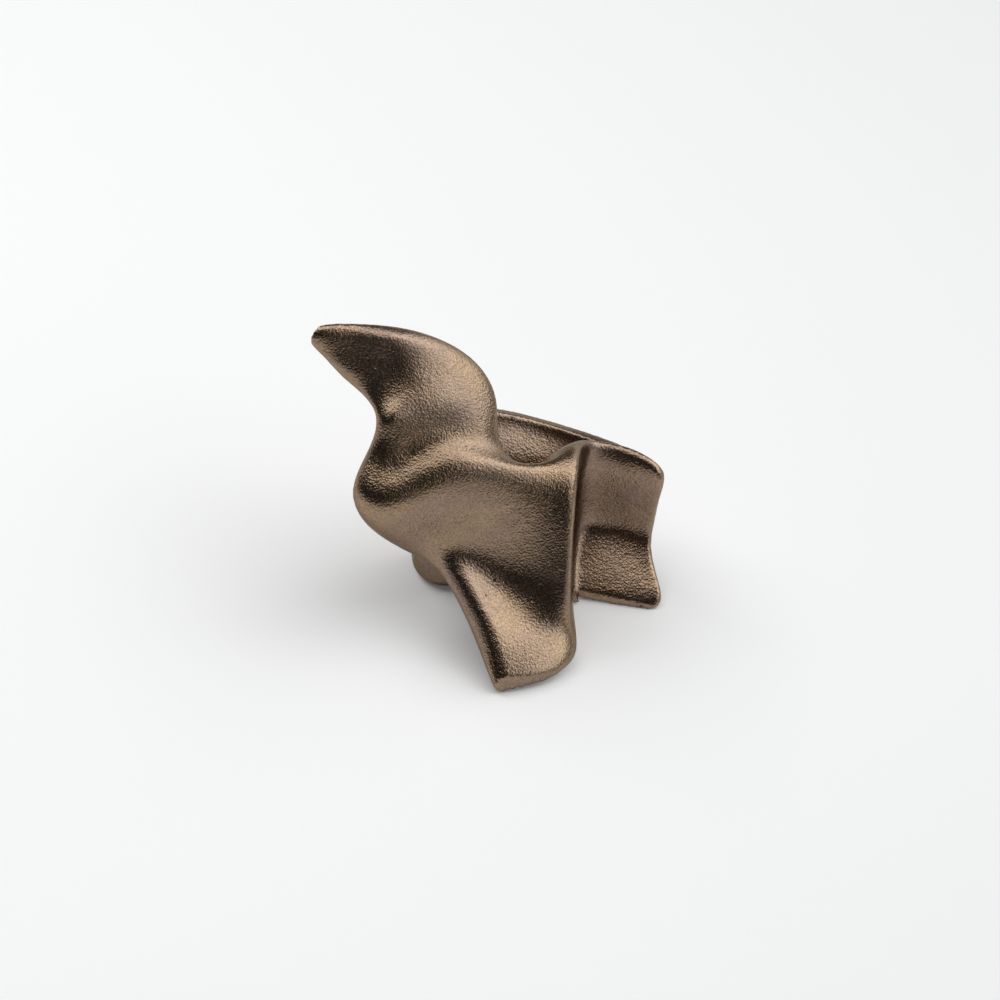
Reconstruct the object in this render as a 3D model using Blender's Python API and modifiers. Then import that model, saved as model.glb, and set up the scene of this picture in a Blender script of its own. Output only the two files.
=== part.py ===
"""Cast bronze cabinet knob: a folded, wavy sheet with a horn, a foot, a side wing,
a back wall and a round screw boss, all one piece of metal.

Own frame, in metres once scaled: +Z away from the cabinet face, which is z = 0.
+X is towards the wing and -Y is towards the foot. The sizes below are taken from
the middle of the flat end of the boss, and the whole knob is then moved so that
the origin is under the middle of its plan.
"""

import math

import bmesh
import bpy

MM = 0.001
PLAN_MIDDLE = (6.9, -10.9)

# Sheet thickness before it is shared out by the weights below, and its smoothing.
SHEET_THICK = 2.9
BACK_THICK = 2.2
SMOOTH_LEVELS = 2
TRIM_CREASE = 0.85

# Share of the sheet thickness in each region. The first rows, by the tip, thin out,
# and the last ones, down the foot, are at the full thickness.
TIP_SHARES = [0.42, 0.62, 0.78]
HORN_SHARE = 0.85
FOOT_SHARES = [1.0, 1.0, 1.0]
FOLD_SHARE = 0.78
WING_SHARE = 0.72

# Boss, ring by ring from its flat end: height, radius and how far the middle leans
# towards the back of the sheet, which it runs into at the top.
BOSS_RINGS = [
    (0.0, 4.4, 0.0),
    (0.6, 5.4, 0.0),
    (2.2, 6.0, 0.0),
    (9.0, 6.0, 0.0),
    (15.0, 6.0, 0.3),
    (20.0, 6.2, 1.6),
    (25.0, 6.6, 4.0),
    (29.0, 6.6, 6.2),
    (31.8, 5.8, 7.0),
    (33.8, 4.2, 6.5),
    (35.0, 2.0, 5.8),
]
BOSS_STEPS = 36

# Blind screw hole up the boss.
HOLE_DIAMETER = 4.0
HOLE_DEPTH = 14.0
HOLE_STEPS = 32

# Coarse cage of the front of the sheet, (x, y, z) in mm. Each row crosses the sheet
# from its free left edge to its right edge, which is the rim of the horn at first
# and the upright fold further down.
FRONT_CAGE = [
    # blunt tip of the horn
    [(-21.8, -2.7, 48.8), (-21.8, -3.0, 49.9), (-21.5, -3.0, 50.9),
     (-21.0, -2.6, 51.8), (-20.6, -2.1, 52.2), (-19.9, -1.3, 52.4)],
    [(-19.4, -3.8, 46.7), (-18.6, -3.6, 47.8), (-16.9, -3.1, 49.2),
     (-14.8, -1.8, 50.5), (-13.5, -0.7, 51.0), (-12.6, 0.3, 51.5)],
    # middle of the horn
    [(-16.9, -4.7, 43.3), (-15.3, -5.2, 45.4), (-12.4, -3.5, 46.5),
     (-9.0, -2.6, 49.5), (-5.8, -1.5, 50.3), (-4.1, 1.8, 49.3)],
    [(-14.1, -5.9, 41.6), (-12.2, -5.4, 43.7), (-8.2, -4.6, 44.7),
     (-4.1, -3.2, 46.3), (1.5, -0.4, 45.4), (3.8, 2.9, 44.0)],
    # root of the horn
    [(-11.9, -7.8, 40.0), (-9.8, -7.7, 41.2), (-5.5, -6.6, 42.8),
     (-1.4, -4.7, 43.0), (5.2, -1.6, 42.0), (7.8, 0.1, 40.0)],
    # top and foot of the small step under the horn
    [(-11.6, -9.5, 37.7), (-9.5, -11.4, 40.7), (-5.5, -8.3, 40.5),
     (-1.0, -7.5, 40.8), (6.3, -4.4, 38.7), (9.0, -2.8, 37.1)],
    [(-13.0, -9.3, 33.0), (-10.8, -11.9, 36.3), (-5.8, -11.0, 37.3),
     (-1.0, -8.4, 37.2), (6.2, -7.2, 36.2), (8.9, -5.2, 34.2)],
    # top of the shoulder
    [(-15.1, -12.3, 30.6), (-12.7, -14.2, 33.2), (-7.0, -12.3, 33.7),
     (-0.2, -9.7, 36.0), (7.0, -9.1, 33.3), (9.4, -6.4, 30.2)],
    [(-16.1, -14.9, 27.7), (-13.5, -17.4, 31.3), (-7.1, -13.9, 32.0),
     (1.5, -12.3, 35.1), (10.2, -10.9, 31.2), (13.5, -9.2, 28.3)],
    # brow of the shoulder, its last point is the top of the fold
    [(-14.6, -16.0, 23.5), (-11.9, -20.2, 27.4), (-5.5, -17.2, 30.2),
     (3.1, -13.8, 33.4), (16.9, -10.5, 28.5), (21.5, -5.4, 31.1)],
    # upright body
    [(-11.0, -14.2, 17.8), (-8.7, -18.2, 22.0), (-2.6, -16.8, 24.9),
     (5.7, -14.8, 26.3), (18.2, -12.6, 26.5), (21.4, -11.7, 28.6)],
    [(-6.0, -14.0, 14.1), (-4.1, -16.4, 17.4), (0.2, -15.5, 20.0),
     (7.3, -15.1, 18.6), (17.8, -16.7, 17.4), (20.9, -15.8, 21.9)],
    # bend from the body into the foot
    [(-2.2, -16.4, 13.9), (0.6, -17.4, 16.7), (3.4, -16.8, 16.0),
     (9.4, -17.1, 13.6), (16.9, -19.2, 11.9), (20.7, -19.4, 14.9)],
    [(0.9, -20.7, 10.8), (3.8, -21.1, 13.7), (5.7, -19.6, 12.5),
     (10.2, -20.2, 10.4), (16.9, -21.4, 9.6), (20.8, -21.6, 10.1)],
    # sloping face of the foot
    [(4.4, -25.5, 4.7), (7.5, -26.8, 8.4), (9.1, -25.5, 8.5),
     (12.1, -24.2, 8.0), (17.7, -23.5, 6.2), (20.9, -21.8, 4.7)],
    # past the end of the foot, trimmed off below
    [(7.6, -33.9, 0.4), (9.2, -33.9, 1.0), (11.6, -33.1, 1.4),
     (15.3, -31.7, 1.8), (20.1, -27.5, 2.7), (22.4, -23.5, 1.9)],
]

# The same sheet goes on from the fold: back along the return, then out as the wing.
# Row by row from the rolled top to past the trimmed bottom edge. The wing has a row
# for each of the last rows of the front, and joins on at their last points.
WING_CAGE = [
    [(22.2, -1.9, 28.5), (23.3, 0.4, 26.6), (25.0, 1.4, 25.6),
     (29.4, 1.2, 24.9), (35.0, -1.6, 23.0)],
    [(21.0, -7.5, 26.8), (21.4, -1.2, 22.4), (23.9, -0.1, 21.6),
     (29.0, -0.9, 20.6), (35.1, -2.2, 18.9)],
    # face of the wing
    [(20.2, -8.5, 20.7), (20.6, -0.7, 16.8), (23.3, 0.3, 16.5),
     (28.1, -0.5, 16.3), (34.2, -2.0, 15.8)],
    [(19.9, -10.1, 15.7), (20.2, -0.9, 10.4), (23.0, 0.6, 10.0),
     (27.8, 0.0, 9.8), (33.4, -1.8, 9.8)],
    # crease above the flared bottom
    [(19.9, -11.0, 12.3), (20.1, -1.9, 8.2), (22.6, -1.0, 7.9),
     (27.4, -1.3, 7.8), (32.8, -3.0, 7.5)],
    [(19.9, -11.8, 6.7), (20.1, -4.5, 4.5), (22.3, -4.6, 5.0),
     (27.4, -5.5, 4.9), (34.2, -7.1, 4.1)],
    [(19.9, -17.0, 3.3), (19.9, -10.2, 1.2), (22.0, -9.9, 0.9),
     (27.4, -10.7, 0.8), (36.1, -12.6, 0.5)],
]

# Back wall, from the boss across to the back of the wing, top edge first.
BACK_CAGE = [
    [(-1.0, 4.0, 30.5), (8.6, 7.7, 27.1), (18.5, 7.9, 23.2), (26.5, 5.8, 21.2),
     (32.0, 1.0, 21.4)],
    [(-1.0, 3.8, 28.4), (8.6, 7.1, 25.3), (18.5, 7.4, 21.3), (26.5, 5.4, 19.2),
     (32.0, 0.6, 18.6)],
    [(-1.0, 2.4, 23.6), (8.6, 0.8, 20.6), (18.5, 2.0, 17.4), (26.5, 3.2, 15.0),
     (32.0, 0.0, 14.4)],
    [(-1.0, 1.8, 16.0), (8.6, 0.9, 14.7), (18.5, 2.2, 12.0), (26.5, 2.8, 10.0),
     (32.0, 0.0, 10.2)],
    [(-1.0, 2.4, 6.5), (8.6, 1.8, 6.8), (18.5, 2.6, 6.3), (26.5, 2.4, 5.8),
     (32.0, -1.6, 6.4)],
]

# Upright trims of the cast edges, seen from above. The end of the foot is a curve
# from its left corner to its right side, pulled towards a bend point. Far corners
# close each cutter outside the metal.
FOOT_CORNER = (8.6, -31.1)
FOOT_BEND = (20.8, -29.2)
FOOT_SIDE = (21.8, -22.0)
FOOT_STEPS = 14
FOOT_FAR = [(26.0, -22.0), (26.0, -40.0), (3.0, -40.0), (3.0, -33.0)]
WING_TRIM = [(20.9, -8.0), (39.0, -12.0), (39.0, -18.0), (22.2, -18.0), (22.2, -10.5)]
TRIM_TOP = 12.0
BELOW = 8.0
FACE_HALF = 60.0

BRONZE = (0.32, 0.23, 0.165)
ROUGHNESS = 0.35


def clear_scene():
    for obj in list(bpy.data.objects):
        bpy.data.objects.remove(obj)


def new_collection(name, hidden):
    coll = bpy.data.collections.new(name)
    bpy.context.scene.collection.children.link(coll)
    coll.hide_render = hidden
    return coll


def new_object(bm, name, coll):
    bmesh.ops.recalc_face_normals(bm, faces=bm.faces)
    mesh = bpy.data.meshes.new(name)
    bm.to_mesh(mesh)
    bm.free()
    obj = bpy.data.objects.new(name, mesh)
    coll.objects.link(obj)
    return obj


def point(bm, xyz):
    """A vertex from millimetres about the boss to metres about the origin."""
    x, y, z = xyz
    return bm.verts.new(((x - PLAN_MIDDLE[0]) * MM, (y - PLAN_MIDDLE[1]) * MM, z * MM))


def skin(bm, rows):
    """Quads between neighbouring rows of cage points."""
    for upper, lower in zip(rows, rows[1:]):
        for i in range(len(upper) - 1):
            bm.faces.new((upper[i], lower[i], lower[i + 1], upper[i + 1]))


def crease(bm, line):
    layer = bm.edges.layers.float.get("crease_edge")
    for a, b in zip(line, line[1:]):
        bm.edges.get((a, b))[layer] = TRIM_CREASE


def cage_object(bm, name, coll):
    """As new_object, with the front of the cage kept on the side that faces -Y."""
    bm.normal_update()
    mesh = bpy.data.meshes.new(name)
    bm.to_mesh(mesh)
    bm.free()
    mesh.shade_smooth()
    obj = bpy.data.objects.new(name, mesh)
    coll.objects.link(obj)
    return obj


def thicken(obj, millimetres):
    solid = obj.modifiers.new("thickness", "SOLIDIFY")
    solid.thickness = millimetres * MM
    solid.offset = -1.0
    solid.use_even_offset = True
    smooth = obj.modifiers.new("rounding", "SUBSURF")
    smooth.levels = SMOOTH_LEVELS
    smooth.render_levels = SMOOTH_LEVELS
    return solid


def sheet(name, coll):
    """Front, return and wing as one cage with its thickness."""
    bm = bmesh.new()
    bm.edges.layers.float.new("crease_edge")
    share = bm.verts.layers.deform.new()
    front = [[point(bm, xyz) for xyz in row] for row in FRONT_CAGE]
    wing = []
    for across, row in zip(front[-len(WING_CAGE):], WING_CAGE):
        wing.append([across[-1]] + [point(bm, xyz) for xyz in row])
    middle = len(front) - len(TIP_SHARES) - len(FOOT_SHARES)
    shares = TIP_SHARES + [HORN_SHARE] * middle + FOOT_SHARES
    for amount, row in zip(shares, front):
        for vert in row:
            vert[share][0] = amount
    for row in wing:
        row[1][share][0] = FOLD_SHARE
        for vert in row[2:]:
            vert[share][0] = WING_SHARE
    skin(bm, front)
    skin(bm, wing)
    crease(bm, [row[-1] for row in wing])
    obj = cage_object(bm, name, coll)
    obj.vertex_groups.new(name="share of thickness")
    thicken(obj, SHEET_THICK).vertex_group = "share of thickness"
    return obj


def back_wall(name, coll):
    bm = bmesh.new()
    bm.edges.layers.float.new("crease_edge")
    rows = [[point(bm, xyz) for xyz in row] for row in BACK_CAGE]
    skin(bm, rows)
    crease(bm, rows[0])
    obj = cage_object(bm, name, coll)
    thicken(obj, BACK_THICK)
    return obj


def boss(name, coll):
    """Loft through round sections whose middles lean towards the sheet."""
    bm = bmesh.new()
    rings = []
    for height, radius, lean in BOSS_RINGS:
        outline = ring(radius, BOSS_STEPS)
        rings.append([point(bm, (x, y - lean, height)) for x, y in outline])
    for lower, upper in zip(rings, rings[1:]):
        for i in range(BOSS_STEPS):
            j = (i + 1) % BOSS_STEPS
            bm.faces.new((lower[i], lower[j], upper[j], upper[i]))
    bm.faces.new(rings[0])
    bm.faces.new(rings[-1])
    obj = new_object(bm, name, coll)
    obj.data.shade_smooth()
    return obj


def bend(start, pull, end, steps):
    """Points of a curve from start to end that is pulled towards the middle point."""
    found = []
    for i in range(steps + 1):
        t = i / steps
        weights = ((1.0 - t) ** 2, 2.0 * t * (1.0 - t), t * t)
        ends = zip(start, pull, end)
        found.append(tuple(sum(w * c for w, c in zip(weights, trio)) for trio in ends))
    return found


def prism(name, coll, outline, low, high):
    """Upright cutter with a plan outline given in mm."""
    bm = bmesh.new()
    base = [point(bm, (x, y, low)) for x, y in outline]
    floor = bm.faces.new(base)
    lifted = bmesh.ops.extrude_face_region(bm, geom=[floor])["geom"]
    raised = [item for item in lifted if isinstance(item, bmesh.types.BMVert)]
    bmesh.ops.translate(bm, verts=raised, vec=(0.0, 0.0, (high - low) * MM))
    return new_object(bm, name, coll)


def ring(radius, steps):
    turns = [2.0 * math.pi * i / steps for i in range(steps)]
    return [(radius * math.cos(t), radius * math.sin(t)) for t in turns]


def box_outline(half):
    return [(-half, -half), (half, -half), (half, half), (-half, half)]


def combine(obj, other, operation):
    step = obj.modifiers.new(other.name, "BOOLEAN")
    step.operation = operation
    step.solver = "EXACT"
    step.object = other


def bronze():
    mat = bpy.data.materials.new("cast_bronze")
    mat.use_nodes = True
    shader = mat.node_tree.nodes["Principled BSDF"]
    shader.inputs["Base Color"].default_value = (*BRONZE, 1.0)
    shader.inputs["Metallic"].default_value = 1.0
    shader.inputs["Roughness"].default_value = ROUGHNESS
    return mat


def main():
    clear_scene()
    knob = new_collection("cabinet_knob", False)
    tools = new_collection("cutters", True)

    body = sheet("knob_body", knob)
    body.data.materials.append(bronze())

    foot_end = bend(FOOT_CORNER, FOOT_BEND, FOOT_SIDE, FOOT_STEPS)
    foot_trim = foot_end + FOOT_FAR
    added = [back_wall("back_wall", tools), boss("screw_boss", tools)]
    removed = [
        prism("foot_trim", tools, foot_trim, -BELOW, TRIM_TOP),
        prism("wing_trim", tools, WING_TRIM, -BELOW, TRIM_TOP),
        prism("cabinet_face", tools, box_outline(FACE_HALF), -BELOW, 0.0),
        prism("screw_hole", tools, ring(HOLE_DIAMETER / 2, HOLE_STEPS), -BELOW, HOLE_DEPTH),
    ]
    for other in added:
        combine(body, other, "UNION")
    for other in removed:
        combine(body, other, "DIFFERENCE")
    for other in added + removed:
        other.hide_render = True
        other.display_type = "WIRE"


main()
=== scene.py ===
"""Looks of the cast bronze cabinet knob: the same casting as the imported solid, with a
smoother surface, soft cast edges, a threaded screw hole and a grained bronze patina.
"""

import math

import bmesh
import bpy
import numpy as np
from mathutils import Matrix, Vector

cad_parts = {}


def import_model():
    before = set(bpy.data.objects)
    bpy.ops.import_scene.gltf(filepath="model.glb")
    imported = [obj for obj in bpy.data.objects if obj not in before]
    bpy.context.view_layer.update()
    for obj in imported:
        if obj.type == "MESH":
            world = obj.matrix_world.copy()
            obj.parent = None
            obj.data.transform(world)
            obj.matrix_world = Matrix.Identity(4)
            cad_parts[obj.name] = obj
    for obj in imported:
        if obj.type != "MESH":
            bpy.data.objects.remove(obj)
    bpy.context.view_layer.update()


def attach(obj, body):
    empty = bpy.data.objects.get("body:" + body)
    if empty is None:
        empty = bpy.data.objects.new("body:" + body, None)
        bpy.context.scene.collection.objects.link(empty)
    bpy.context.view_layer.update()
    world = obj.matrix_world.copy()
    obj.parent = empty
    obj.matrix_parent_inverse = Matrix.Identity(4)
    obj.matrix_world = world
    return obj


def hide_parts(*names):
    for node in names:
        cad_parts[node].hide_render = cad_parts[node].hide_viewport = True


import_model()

MM = 0.001
PLAN_MIDDLE = (6.9, -10.9)
SQUARE = [(-1, -1), (1, -1), (1, 1), (-1, 1)]

# Casting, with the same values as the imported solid.
SHEET_THICK = 2.9
BACK_THICK = 2.2
TRIM_CREASE = 0.85
TIP_SHARES = [0.42, 0.62, 0.78]
HORN_SHARE = 0.85
FOOT_SHARES = [1.0, 1.0, 1.0]
FOLD_SHARE = 0.78
WING_SHARE = 0.72
BOSS_RINGS = [
    (0.0, 4.4, 0.0),
    (0.6, 5.4, 0.0),
    (2.2, 6.0, 0.0),
    (9.0, 6.0, 0.0),
    (15.0, 6.0, 0.3),
    (20.0, 6.2, 1.6),
    (25.0, 6.6, 4.0),
    (29.0, 6.6, 6.2),
    (31.8, 5.8, 7.0),
    (33.8, 4.2, 6.5),
    (35.0, 2.0, 5.8),
]
FRONT_CAGE = [
    # blunt tip of the horn
    [(-21.8, -2.7, 48.8), (-21.8, -3.0, 49.9), (-21.5, -3.0, 50.9),
     (-21.0, -2.6, 51.8), (-20.6, -2.1, 52.2), (-19.9, -1.3, 52.4)],
    [(-19.4, -3.8, 46.7), (-18.6, -3.6, 47.8), (-16.9, -3.1, 49.2),
     (-14.8, -1.8, 50.5), (-13.5, -0.7, 51.0), (-12.6, 0.3, 51.5)],
    # middle of the horn
    [(-16.9, -4.7, 43.3), (-15.3, -5.2, 45.4), (-12.4, -3.5, 46.5),
     (-9.0, -2.6, 49.5), (-5.8, -1.5, 50.3), (-4.1, 1.8, 49.3)],
    [(-14.1, -5.9, 41.6), (-12.2, -5.4, 43.7), (-8.2, -4.6, 44.7),
     (-4.1, -3.2, 46.3), (1.5, -0.4, 45.4), (3.8, 2.9, 44.0)],
    # root of the horn
    [(-11.9, -7.8, 40.0), (-9.8, -7.7, 41.2), (-5.5, -6.6, 42.8),
     (-1.4, -4.7, 43.0), (5.2, -1.6, 42.0), (7.8, 0.1, 40.0)],
    # top and foot of the small step under the horn
    [(-11.6, -9.5, 37.7), (-9.5, -11.4, 40.7), (-5.5, -8.3, 40.5),
     (-1.0, -7.5, 40.8), (6.3, -4.4, 38.7), (9.0, -2.8, 37.1)],
    [(-13.0, -9.3, 33.0), (-10.8, -11.9, 36.3), (-5.8, -11.0, 37.3),
     (-1.0, -8.4, 37.2), (6.2, -7.2, 36.2), (8.9, -5.2, 34.2)],
    # top of the shoulder
    [(-15.1, -12.3, 30.6), (-12.7, -14.2, 33.2), (-7.0, -12.3, 33.7),
     (-0.2, -9.7, 36.0), (7.0, -9.1, 33.3), (9.4, -6.4, 30.2)],
    [(-16.1, -14.9, 27.7), (-13.5, -17.4, 31.3), (-7.1, -13.9, 32.0),
     (1.5, -12.3, 35.1), (10.2, -10.9, 31.2), (13.5, -9.2, 28.3)],
    # brow of the shoulder, its last point is the top of the fold
    [(-14.6, -16.0, 23.5), (-11.9, -20.2, 27.4), (-5.5, -17.2, 30.2),
     (3.1, -13.8, 33.4), (16.9, -10.5, 28.5), (21.5, -5.4, 31.1)],
    # upright body
    [(-11.0, -14.2, 17.8), (-8.7, -18.2, 22.0), (-2.6, -16.8, 24.9),
     (5.7, -14.8, 26.3), (18.2, -12.6, 26.5), (21.4, -11.7, 28.6)],
    [(-6.0, -14.0, 14.1), (-4.1, -16.4, 17.4), (0.2, -15.5, 20.0),
     (7.3, -15.1, 18.6), (17.8, -16.7, 17.4), (20.9, -15.8, 21.9)],
    # bend from the body into the foot
    [(-2.2, -16.4, 13.9), (0.6, -17.4, 16.7), (3.4, -16.8, 16.0),
     (9.4, -17.1, 13.6), (16.9, -19.2, 11.9), (20.7, -19.4, 14.9)],
    [(0.9, -20.7, 10.8), (3.8, -21.1, 13.7), (5.7, -19.6, 12.5),
     (10.2, -20.2, 10.4), (16.9, -21.4, 9.6), (20.8, -21.6, 10.1)],
    # sloping face of the foot
    [(4.4, -25.5, 4.7), (7.5, -26.8, 8.4), (9.1, -25.5, 8.5),
     (12.1, -24.2, 8.0), (17.7, -23.5, 6.2), (20.9, -21.8, 4.7)],
    # past the end of the foot, trimmed off below
    [(7.6, -33.9, 0.4), (9.2, -33.9, 1.0), (11.6, -33.1, 1.4),
     (15.3, -31.7, 1.8), (20.1, -27.5, 2.7), (22.4, -23.5, 1.9)],
]
WING_CAGE = [
    [(22.2, -1.9, 28.5), (23.3, 0.4, 26.6), (25.0, 1.4, 25.6),
     (29.4, 1.2, 24.9), (35.0, -1.6, 23.0)],
    [(21.0, -7.5, 26.8), (21.4, -1.2, 22.4), (23.9, -0.1, 21.6),
     (29.0, -0.9, 20.6), (35.1, -2.2, 18.9)],
    # face of the wing
    [(20.2, -8.5, 20.7), (20.6, -0.7, 16.8), (23.3, 0.3, 16.5),
     (28.1, -0.5, 16.3), (34.2, -2.0, 15.8)],
    [(19.9, -10.1, 15.7), (20.2, -0.9, 10.4), (23.0, 0.6, 10.0),
     (27.8, 0.0, 9.8), (33.4, -1.8, 9.8)],
    # crease above the flared bottom
    [(19.9, -11.0, 12.3), (20.1, -1.9, 8.2), (22.6, -1.0, 7.9),
     (27.4, -1.3, 7.8), (32.8, -3.0, 7.5)],
    [(19.9, -11.8, 6.7), (20.1, -4.5, 4.5), (22.3, -4.6, 5.0),
     (27.4, -5.5, 4.9), (34.2, -7.1, 4.1)],
    [(19.9, -17.0, 3.3), (19.9, -10.2, 1.2), (22.0, -9.9, 0.9),
     (27.4, -10.7, 0.8), (36.1, -12.6, 0.5)],
]
BACK_CAGE = [
    [(-1.0, 4.0, 30.5), (8.6, 7.7, 27.1), (18.5, 7.9, 23.2), (26.5, 5.8, 21.2),
     (32.0, 1.0, 21.4)],
    [(-1.0, 3.8, 28.4), (8.6, 7.1, 25.3), (18.5, 7.4, 21.3), (26.5, 5.4, 19.2),
     (32.0, 0.6, 18.6)],
    [(-1.0, 2.4, 23.6), (8.6, 0.8, 20.6), (18.5, 2.0, 17.4), (26.5, 3.2, 15.0),
     (32.0, 0.0, 14.4)],
    [(-1.0, 1.8, 16.0), (8.6, 0.9, 14.7), (18.5, 2.2, 12.0), (26.5, 2.8, 10.0),
     (32.0, 0.0, 10.2)],
    [(-1.0, 2.4, 6.5), (8.6, 1.8, 6.8), (18.5, 2.6, 6.3), (26.5, 2.4, 5.8),
     (32.0, -1.6, 6.4)],
]
FOOT_CORNER = (8.6, -31.1)
FOOT_BEND = (20.8, -29.2)
FOOT_SIDE = (21.8, -22.0)
FOOT_FAR = [(26.0, -22.0), (26.0, -40.0), (3.0, -40.0), (3.0, -33.0)]
WING_TRIM = [(20.9, -8.0), (39.0, -12.0), (39.0, -18.0), (22.2, -18.0), (22.2, -10.5)]
TRIM_TOP = 12.0
BELOW = 8.0
FACE_HALF = 60.0

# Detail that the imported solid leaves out, in millimetres and in steps.
SMOOTH_LEVELS = 3
BOSS_STEPS = 96
BOSS_END_HEIGHTS = [0.0, 0.1, 0.25, 0.45, 0.7, 1.0, 1.4, 1.8, 2.4]
BOSS_HEIGHTS = BOSS_END_HEIGHTS + [3.0 + 0.5 * k for k in range(64)]
FOOT_STEPS = 40
VOXEL = 0.34
SMOOTHING = 6
THREAD_OUTER = 2.0
THREAD_INNER = 1.65
THREAD_PITCH = 0.7
THREAD_DEPTH = 14.0
THREAD_CONE = 1.0
THREAD_STEPS = 48
STEPS_PER_PITCH = 6
WEAR_REACH = 24
WEAR_GAIN = 1.6

# Bronze. Colours are linear, scales are in cells to a metre, heights in metres.
GOLDEN = (0.355, 0.24, 0.138, 1.0)
MAUVE = (0.305, 0.209, 0.156, 1.0)
BROWN = (0.22, 0.15, 0.105, 1.0)
DARK_SPECK = (0.15, 0.1, 0.07, 1.0)
BRIGHT_EDGE = (0.42, 0.32, 0.25, 1.0)
DARK_HOLLOW = (0.12, 0.075, 0.05, 1.0)
PIT = (0.03, 0.02, 0.015, 1.0)
GRAZING_TINT = (0.35, 0.29, 0.24, 1.0)
WAX_WEIGHT = 0.5
WAX_ROUGHNESS = 0.26
CELL_SCALE = 2800.0
GRAIN_SCALE = 2600.0
FINE_SCALE = 7000.0
SPECK_SCALE = 3400.0
PIT_SCALE = 800.0
MOTTLE_SCALE = 330.0
SWELL_SCALE = 260.0
PATINA_SCALE = 95.0
GRAIN_HEIGHT = 0.00014
GRAIN_STRENGTH = 0.45
SWELL_HEIGHT = 0.0003
SWELL_STRENGTH = 0.5

# Light levels. The floor comes out about as pale as it is painted.
OVERHEAD_WATTS = 2.3
LEFT_WATTS = 1.6
BACK_LIGHT = 1.5
RIGHT_LIGHT = 2.2
ROOM_LIGHT = 0.022
STUDIO_TINT = (0.95, 0.98, 1.0, 1.0)
FLOOR_GLOW = 0.07
FLOOR_COLOUR = (0.835, 0.832, 0.828, 1.0)
FLOOR_HALF = 12.0
FLOOR_DROP = 0.00002

# Camera, in degrees, metres and millimetres of lens.
CAMERA_RISE = 40.0
CAMERA_TARGET = (0.00166, -0.00222, 0.02554)
CAMERA_DISTANCE = 0.8
CAMERA_LENS = 180.0


def point(bm, xyz):
    """A vertex from millimetres about the boss to metres about the origin."""
    x, y, z = xyz
    return bm.verts.new(((x - PLAN_MIDDLE[0]) * MM, (y - PLAN_MIDDLE[1]) * MM, z * MM))


def linked(mesh, name):
    obj = bpy.data.objects.new(name, mesh)
    bpy.context.scene.collection.objects.link(obj)
    return obj


def from_bmesh(bm, name, outward):
    """An object from a bmesh, with its faces turned outward where asked."""
    if outward:
        bmesh.ops.recalc_face_normals(bm, faces=bm.faces)
    mesh = bpy.data.meshes.new(name)
    bm.to_mesh(mesh)
    bm.free()
    return linked(mesh, name)


def applied(obj):
    """The mesh with its modifiers applied. The object itself is removed."""
    bpy.context.view_layer.update()
    graph = bpy.context.evaluated_depsgraph_get()
    mesh = bpy.data.meshes.new_from_object(obj.evaluated_get(graph))
    bpy.data.objects.remove(obj)
    return mesh


def skin(bm, rows):
    """Quads between the points of each row and the next."""
    for upper, lower in zip(rows, rows[1:]):
        for i in range(len(upper) - 1):
            bm.faces.new((upper[i], lower[i], lower[i + 1], upper[i + 1]))


def crease(bm, line):
    """Keeps the edges along a row of points sharper than the rounding would."""
    layer = bm.edges.layers.float.get("crease_edge")
    for a, b in zip(line, line[1:]):
        bm.edges.get((a, b))[layer] = TRIM_CREASE


def thicken(obj, millimetres):
    """Gives a cage its thickness and rounds it."""
    solid = obj.modifiers.new("thickness", "SOLIDIFY")
    solid.thickness = millimetres * MM
    solid.offset = -1.0
    solid.use_even_offset = True
    smooth = obj.modifiers.new("rounding", "SUBSURF")
    smooth.levels = SMOOTH_LEVELS
    smooth.render_levels = SMOOTH_LEVELS
    return solid


def sheet():
    """Front, return and wing as one cage with its thickness."""
    bm = bmesh.new()
    bm.edges.layers.float.new("crease_edge")
    share = bm.verts.layers.deform.new()
    front = [[point(bm, xyz) for xyz in row] for row in FRONT_CAGE]
    wing = []
    for across, row in zip(front[-len(WING_CAGE):], WING_CAGE):
        wing.append([across[-1]] + [point(bm, xyz) for xyz in row])
    middle = len(front) - len(TIP_SHARES) - len(FOOT_SHARES)
    shares = TIP_SHARES + [HORN_SHARE] * middle + FOOT_SHARES
    for amount, row in zip(shares, front):
        for vert in row:
            vert[share][0] = amount
    for row in wing:
        row[1][share][0] = FOLD_SHARE
        for vert in row[2:]:
            vert[share][0] = WING_SHARE
    skin(bm, front)
    skin(bm, wing)
    crease(bm, [row[-1] for row in wing])
    obj = from_bmesh(bm, "sheet", False)
    obj.vertex_groups.new(name="share of thickness")
    thicken(obj, SHEET_THICK).vertex_group = "share of thickness"
    return applied(obj)


def back_wall():
    """Curved wall behind the sheet, with a sharper top edge."""
    bm = bmesh.new()
    bm.edges.layers.float.new("crease_edge")
    rows = [[point(bm, xyz) for xyz in row] for row in BACK_CAGE]
    skin(bm, rows)
    crease(bm, rows[0])
    obj = from_bmesh(bm, "back_wall", False)
    thicken(obj, BACK_THICK)
    return applied(obj)


def ring(radius, steps):
    turns = [2.0 * math.pi * i / steps for i in range(steps)]
    return [(radius * math.cos(t), radius * math.sin(t)) for t in turns]


def between(rings, height):
    """Radius and lean of the boss at a height, on a smooth curve through its rings."""
    spots = [r[0] for r in rings]
    i = max(k for k in range(len(rings) - 1) if spots[k] <= height)
    p = rings[max(i - 1, 0)]
    a, b = rings[i], rings[i + 1]
    q = rings[min(i + 2, len(rings) - 1)]
    t = (height - a[0]) / (b[0] - a[0])
    found = []
    for k in (1, 2):
        into = (b[k] - p[k]) / (b[0] - p[0]) * (b[0] - a[0])
        out = (q[k] - a[k]) / (q[0] - a[0]) * (b[0] - a[0])
        found.append(
            (2 * t**3 - 3 * t**2 + 1) * a[k] + (t**3 - 2 * t**2 + t) * into
            + (3 * t**2 - 2 * t**3) * b[k] + (t**3 - t**2) * out
        )
    return found


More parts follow.
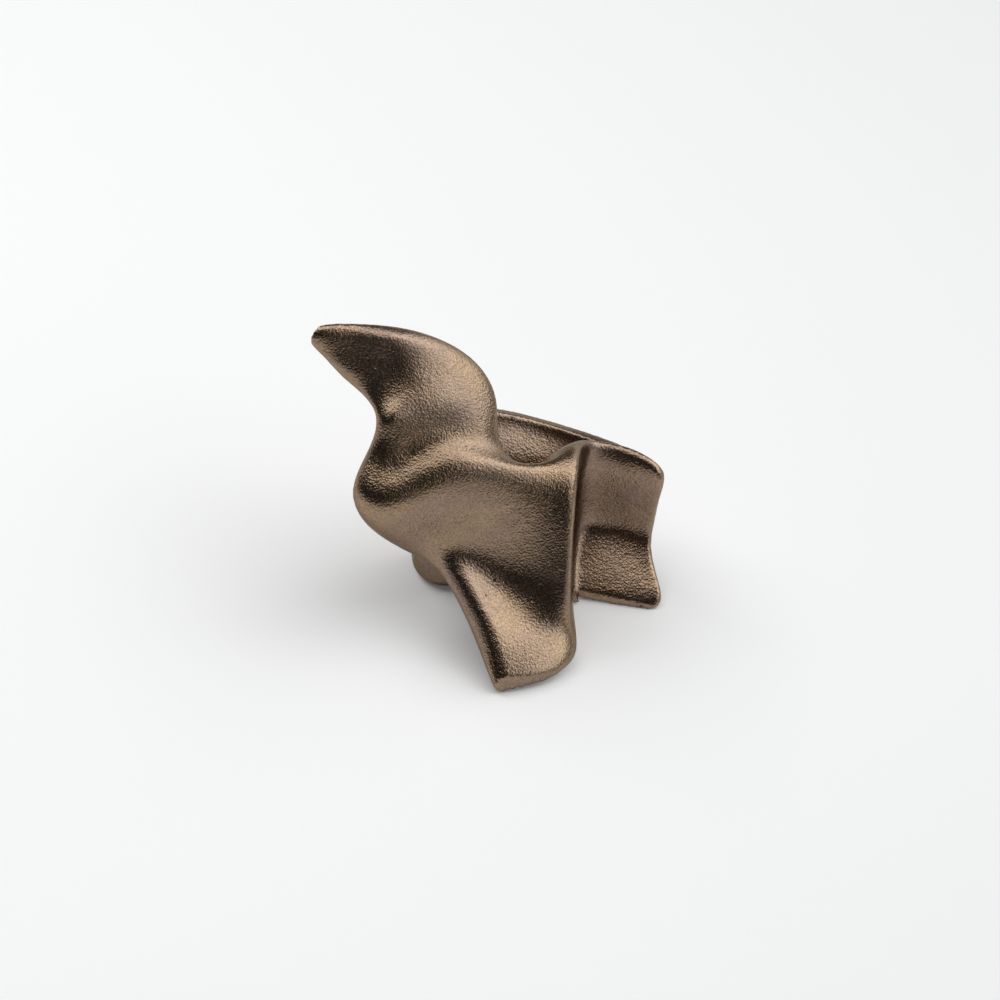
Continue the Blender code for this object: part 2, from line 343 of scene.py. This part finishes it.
def boss():
    """Round leaning boss with a rounded top and a flat end."""
    bm = bmesh.new()
    top = BOSS_RINGS[-1][0]
    rings = []
    for height in BOSS_HEIGHTS + [top]:
        radius, lean = between(BOSS_RINGS, min(height, top - 1e-6))
        outline = ring(radius, BOSS_STEPS)
        rings.append([point(bm, (x, y - lean, height)) for x, y in outline])
    for lower, upper in zip(rings, rings[1:]):
        for i in range(BOSS_STEPS):
            j = (i + 1) % BOSS_STEPS
            bm.faces.new((lower[i], lower[j], upper[j], upper[i]))
    bm.faces.new(rings[0])
    bm.faces.new(rings[-1])
    return applied(from_bmesh(bm, "boss", True))


def bend(start, pull, end, steps):
    """Points of a curve from start to end, pulled towards a third point."""
    found = []
    for i in range(steps + 1):
        t = i / steps
        weights = ((1.0 - t) ** 2, 2.0 * t * (1.0 - t), t * t)
        ends = zip(start, pull, end)
        found.append(tuple(sum(w * c for w, c in zip(weights, trio)) for trio in ends))
    return found


def prism(name, outline, low, high):
    """Upright cutter over a flat outline."""
    bm = bmesh.new()
    base = [point(bm, (x, y, low)) for x, y in outline]
    floor = bm.faces.new(base)
    lifted = bmesh.ops.extrude_face_region(bm, geom=[floor])["geom"]
    raised = [item for item in lifted if isinstance(item, bmesh.types.BMVert)]
    bmesh.ops.translate(bm, verts=raised, vec=(0.0, 0.0, (high - low) * MM))
    return from_bmesh(bm, name, True)


def thread_cutter():
    """Closed helical cutter for the screw hole, with a ridge at every pitch."""
    bm = bmesh.new()
    rows = int(THREAD_DEPTH / THREAD_PITCH * STEPS_PER_PITCH)
    rings = []
    for k in range(-STEPS_PER_PITCH, rows + 1):
        height = k * THREAD_PITCH / STEPS_PER_PITCH
        circle = []
        for i in range(THREAD_STEPS):
            turn = i / THREAD_STEPS
            phase = (k / STEPS_PER_PITCH - turn) % 1.0
            ridge = min(1.0, max(0.0, 2.0 * abs(phase - 0.5) * 1.3 - 0.15))
            radius = THREAD_INNER + (THREAD_OUTER - THREAD_INNER) * ridge
            angle = 2.0 * math.pi * turn
            circle.append(
                point(bm, (radius * math.cos(angle), radius * math.sin(angle), height))
            )
        rings.append(circle)
    for lower, upper in zip(rings, rings[1:]):
        for i in range(THREAD_STEPS):
            j = (i + 1) % THREAD_STEPS
            bm.faces.new((lower[i], lower[j], upper[j], upper[i]))
    bm.faces.new(rings[0])
    cone = point(bm, (0.0, 0.0, THREAD_DEPTH + THREAD_CONE))
    for i in range(THREAD_STEPS):
        bm.faces.new((rings[-1][i], rings[-1][(i + 1) % THREAD_STEPS], cone))
    return from_bmesh(bm, "thread_cutter", True)


def cut(obj, cutter):
    """Takes the cutter out of the object when its modifiers are applied."""
    step = obj.modifiers.new(cutter.name, "BOOLEAN")
    step.operation = "DIFFERENCE"
    step.solver = "EXACT"
    step.object = cutter


def casting():
    """All of the knob as one skin with soft edges."""
    foot_end = bend(FOOT_CORNER, FOOT_BEND, FOOT_SIDE, FOOT_STEPS)
    square = [(x * FACE_HALF, y * FACE_HALF) for x, y in SQUARE]
    cutters = [
        prism("foot_trim", foot_end + FOOT_FAR, -BELOW, TRIM_TOP),
        prism("wing_trim", WING_TRIM, -BELOW, TRIM_TOP),
        prism("cabinet_face", square, -BELOW, 0.0),
    ]
    whole = linked(sheet(), "whole")
    for cutter in cutters:
        cut(whole, cutter)
    parts = [applied(whole), back_wall(), boss()]
    bm = bmesh.new()
    for mesh in parts:
        bm.from_mesh(mesh)
    obj = from_bmesh(bm, "joined", False)
    remesh = obj.modifiers.new("one_skin", "REMESH")
    remesh.mode = "VOXEL"
    remesh.voxel_size = VOXEL * MM
    soften = obj.modifiers.new("soft_edges", "SMOOTH")
    soften.factor = 0.5
    soften.iterations = SMOOTHING
    mesh = applied(obj)
    for cutter in cutters:
        bpy.data.objects.remove(cutter)
    return mesh


def threaded(mesh):
    """The casting with its screw hole cut."""
    obj = linked(mesh, "threaded")
    cutter = thread_cutter()
    cut(obj, cutter)
    done = applied(obj)
    bpy.data.objects.remove(cutter)
    return done


def add_wear(mesh):
    """Stores how far each point stands out of its surroundings, 0.5 being flat."""
    count = len(mesh.vertices)
    co = np.empty(count * 3)
    mesh.vertices.foreach_get("co", co)
    co = co.reshape(-1, 3)
    normal = np.empty(count * 3)
    mesh.vertices.foreach_get("normal", normal)
    normal = normal.reshape(-1, 3)
    ends = np.empty(len(mesh.edges) * 2, dtype=np.int64)
    mesh.edges.foreach_get("vertices", ends)
    a, b = ends.reshape(-1, 2).T
    degree = np.bincount(a, minlength=count) + np.bincount(b, minlength=count)
    degree = np.maximum(degree, 1)[:, None]

    def spread(values, rounds):
        for _ in range(rounds):
            total = np.zeros_like(values)
            np.add.at(total, a, values[b])
            np.add.at(total, b, values[a])
            values = 0.5 * values + 0.5 * total / degree
        return values

    stands = ((co - spread(co, WEAR_REACH)) * normal).sum(axis=1, keepdims=True) / MM
    stands = spread(stands, 2)[:, 0]
    layer = mesh.attributes.new("wear", "FLOAT", "POINT")
    layer.data.foreach_set("value", np.clip(0.5 + WEAR_GAIN * stands, 0.0, 1.0))


class Graph:
    """Short way to add and join shader nodes."""

    def __init__(self, tree):
        self.tree = tree

    def node(self, kind, **settings):
        made = self.tree.nodes.new(kind)
        for key, value in settings.items():
            setattr(made, key, value)
        return made

    def join(self, source, target):
        self.tree.links.new(source, target)

    def feed(self, target, value):
        if isinstance(value, (int, float, tuple)):
            target.default_value = value
        else:
            self.join(value, target)

    def math(self, operation, a, b=0.0, clamp=False):
        made = self.node("ShaderNodeMath", operation=operation, use_clamp=clamp)
        self.feed(made.inputs[0], a)
        self.feed(made.inputs[1], b)
        return made.outputs[0]

    def scaled(self, value, low, high, to_low, to_high):
        made = self.node("ShaderNodeMapRange")
        made.clamp = True
        self.feed(made.inputs["Value"], value)
        for key, number in zip(
            ("From Min", "From Max", "To Min", "To Max"), (low, high, to_low, to_high)
        ):
            self.feed(made.inputs[key], number)
        return made.outputs["Result"]

    def mix(self, factor, a, b, blend="MIX"):
        made = self.node("ShaderNodeMix", data_type="RGBA", blend_type=blend)
        self.feed(made.inputs["Factor"], factor)
        self.feed(made.inputs["A"], a)
        self.feed(made.inputs["B"], b)
        return made.outputs["Result"]

    def noise(self, where, scale, detail=2.0, rough=0.5, warp=0.0):
        made = self.node("ShaderNodeTexNoise", noise_dimensions="3D")
        self.join(where, made.inputs["Vector"])
        made.inputs["Scale"].default_value = scale
        made.inputs["Detail"].default_value = detail
        made.inputs["Roughness"].default_value = rough
        made.inputs["Distortion"].default_value = warp
        return made.outputs["Fac"]

    def cells(self, where, scale, smooth):
        made = self.node("ShaderNodeTexVoronoi", feature="SMOOTH_F1")
        self.join(where, made.inputs["Vector"])
        made.inputs["Scale"].default_value = scale
        made.inputs["Smoothness"].default_value = smooth
        return made.outputs["Distance"]


def bronze():
    """Waxed brown patina over cast bronze, with a leathery grain of about 0.4 mm."""
    mat = bpy.data.materials.new("cast_bronze_patina")
    mat.use_nodes = True
    g = Graph(mat.node_tree)
    shader = mat.node_tree.nodes["Principled BSDF"]
    shader.inputs["Metallic"].default_value = 1.0
    shader.inputs["Specular Tint"].default_value = GRAZING_TINT
    shader.inputs["Coat Weight"].default_value = WAX_WEIGHT
    shader.inputs["Coat Roughness"].default_value = WAX_ROUGHNESS

    place = g.node("ShaderNodeTexCoord").outputs["Object"]
    wear = g.node("ShaderNodeAttribute", attribute_name="wear").outputs["Fac"]

    grain_cells = g.cells(place, CELL_SCALE, 0.35)
    grain_noise = g.noise(place, GRAIN_SCALE, 3.0, 0.6, 0.3)
    fine_noise = g.noise(place, FINE_SCALE, 2.0, 0.5)
    swell = g.noise(place, SWELL_SCALE, 2.0, 0.5)
    pit_noise = g.noise(place, PIT_SCALE, 0.0, 0.5)

    height = g.math("MULTIPLY", grain_cells, 0.8)
    height = g.math("ADD", height, g.math("MULTIPLY", grain_noise, 0.9))
    height = g.math("ADD", height, g.math("MULTIPLY", fine_noise, 0.12))
    pits = g.scaled(pit_noise, 0.1, 0.15, 1.0, 0.0)
    height = g.math("SUBTRACT", height, g.math("MULTIPLY", pits, 1.2))
    bump = g.node("ShaderNodeBump")
    bump.inputs["Strength"].default_value = GRAIN_STRENGTH
    bump.inputs["Distance"].default_value = GRAIN_HEIGHT
    g.join(height, bump.inputs["Height"])
    broad = g.node("ShaderNodeBump")
    broad.inputs["Strength"].default_value = SWELL_STRENGTH
    broad.inputs["Distance"].default_value = SWELL_HEIGHT
    g.join(swell, broad.inputs["Height"])
    g.join(broad.outputs["Normal"], bump.inputs["Normal"])
    g.join(bump.outputs["Normal"], shader.inputs["Normal"])

    patina = g.noise(place, PATINA_SCALE, 4.0, 0.6, 0.6)
    tarnish = g.scaled(patina, 0.38, 0.62, 0.0, 1.0)
    base = g.mix(tarnish, MAUVE, GOLDEN)
    mottle = g.scaled(g.noise(place, MOTTLE_SCALE, 3.0, 0.6), 0.35, 0.65, 0.0, 0.35)
    base = g.mix(mottle, base, BROWN)
    speck = g.scaled(g.noise(place, SPECK_SCALE, 2.0, 0.6), 0.36, 0.62, 0.75, 0.0)
    base = g.mix(speck, base, DARK_SPECK)
    worn = g.scaled(wear, 0.58, 0.95, 0.0, 0.15)
    base = g.mix(worn, base, BRIGHT_EDGE)
    hollow = g.scaled(wear, 0.5, 0.2, 0.0, 0.5)
    base = g.mix(hollow, base, DARK_HOLLOW)
    base = g.mix(pits, base, PIT)
    g.join(base, shader.inputs["Base Color"])

    rough = g.scaled(patina, 0.3, 0.7, 0.27, 0.21)
    rough = g.math("SUBTRACT", rough, g.math("MULTIPLY", worn, 0.08))
    rough = g.math("ADD", rough, g.math("MULTIPLY", fine_noise, 0.04))
    g.join(rough, shader.inputs["Roughness"])
    return mat


def knob():
    mesh = threaded(casting())
    mesh.name = "knob_casting"
    mesh.shade_smooth()
    add_wear(mesh)
    obj = linked(mesh, "knob_casting")
    mesh.materials.clear()
    mesh.materials.append(bronze())
    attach(obj, "root")
    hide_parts("knob_body")


def paper():
    """Pale matt ground, lifted a little for the camera and for reflections of it."""
    mat = bpy.data.materials.new("floor_paper")
    mat.use_nodes = True
    g = Graph(mat.node_tree)
    shader = mat.node_tree.nodes["Principled BSDF"]
    shader.inputs["Base Color"].default_value = FLOOR_COLOUR
    shader.inputs["Roughness"].default_value = 0.9
    shader.inputs["Specular IOR Level"].default_value = 0.0
    shader.inputs["Emission Color"].default_value = (1.0, 1.0, 1.0, 1.0)
    rays = g.node("ShaderNodeLightPath").outputs
    seen = g.math("MAXIMUM", rays["Is Camera Ray"], rays["Is Glossy Ray"])
    seen = g.math("MAXIMUM", seen, rays["Is Transmission Ray"])
    g.join(g.math("MULTIPLY", seen, FLOOR_GLOW), shader.inputs["Emission Strength"])
    return mat


def floor():
    bm = bmesh.new()
    bm.faces.new([bm.verts.new((x * FLOOR_HALF, y * FLOOR_HALF, 0.0)) for x, y in SQUARE])
    obj = from_bmesh(bm, "floor", False)
    obj.location.z = -FLOOR_DROP
    obj.data.materials.append(paper())


def lamp(name, place, target, size, watts):
    """Soft rectangular lamp, all lengths in metres."""
    data = bpy.data.lights.new(name, "AREA")
    data.shape = "RECTANGLE"
    data.size, data.size_y = size
    data.energy = watts
    obj = bpy.data.objects.new(name, data)
    bpy.context.scene.collection.objects.link(obj)
    obj.location = place
    aim = Vector(target) - Vector(place)
    obj.rotation_euler = aim.to_track_quat("-Z", "Y").to_euler()


def world():
    """Studio dome: dark, with a low pale band at the back and a pale wall at the right."""
    made = bpy.data.worlds.new("studio")
    made.use_nodes = True
    bpy.context.scene.world = made
    g = Graph(made.node_tree)
    back = made.node_tree.nodes["Background"]
    way = g.node("ShaderNodeTexCoord").outputs["Generated"]
    parts = g.node("ShaderNodeSeparateXYZ")
    g.join(way, parts.inputs[0])
    behind = g.scaled(parts.outputs["Y"], 0.2, 0.8, 0.0, BACK_LIGHT)
    behind = g.math("MULTIPLY", behind, g.scaled(parts.outputs["Z"], 0.12, 0.3, 1.0, 0.08))
    right = g.scaled(parts.outputs["X"], 0.4, 0.72, 0.0, RIGHT_LIGHT)
    right = g.math("MULTIPLY", right, g.scaled(parts.outputs["Z"], 0.18, 0.42, 0.0, 1.0))
    total = g.math("MAXIMUM", behind, right)
    g.join(g.math("ADD", total, ROOM_LIGHT), back.inputs["Strength"])
    back.inputs["Color"].default_value = STUDIO_TINT


def camera():
    data = bpy.data.cameras.new("camera")
    data.sensor_width = 36.0
    data.lens = CAMERA_LENS
    data.clip_start = 0.01
    obj = bpy.data.objects.new("camera", data)
    bpy.context.scene.collection.objects.link(obj)
    rise = math.radians(CAMERA_RISE)
    away = Vector((0.0, -math.cos(rise), math.sin(rise)))
    obj.location = Vector(CAMERA_TARGET) + away * CAMERA_DISTANCE
    obj.rotation_euler = (math.radians(90.0) - rise, 0.0, 0.0)
    bpy.context.scene.camera = obj


def main():
    knob()
    floor()
    world()
    lamp("overhead", (0.08, -0.04, 0.62), (0.08, -0.04, 0.0), (0.86, 0.48), OVERHEAD_WATTS)
    lamp("left_back", (-0.36, 0.22, 0.5), (0.0, 0.0, 0.02), (0.4, 0.4), LEFT_WATTS)
    camera()
    bpy.context.scene.view_settings.view_transform = "Standard"


main()
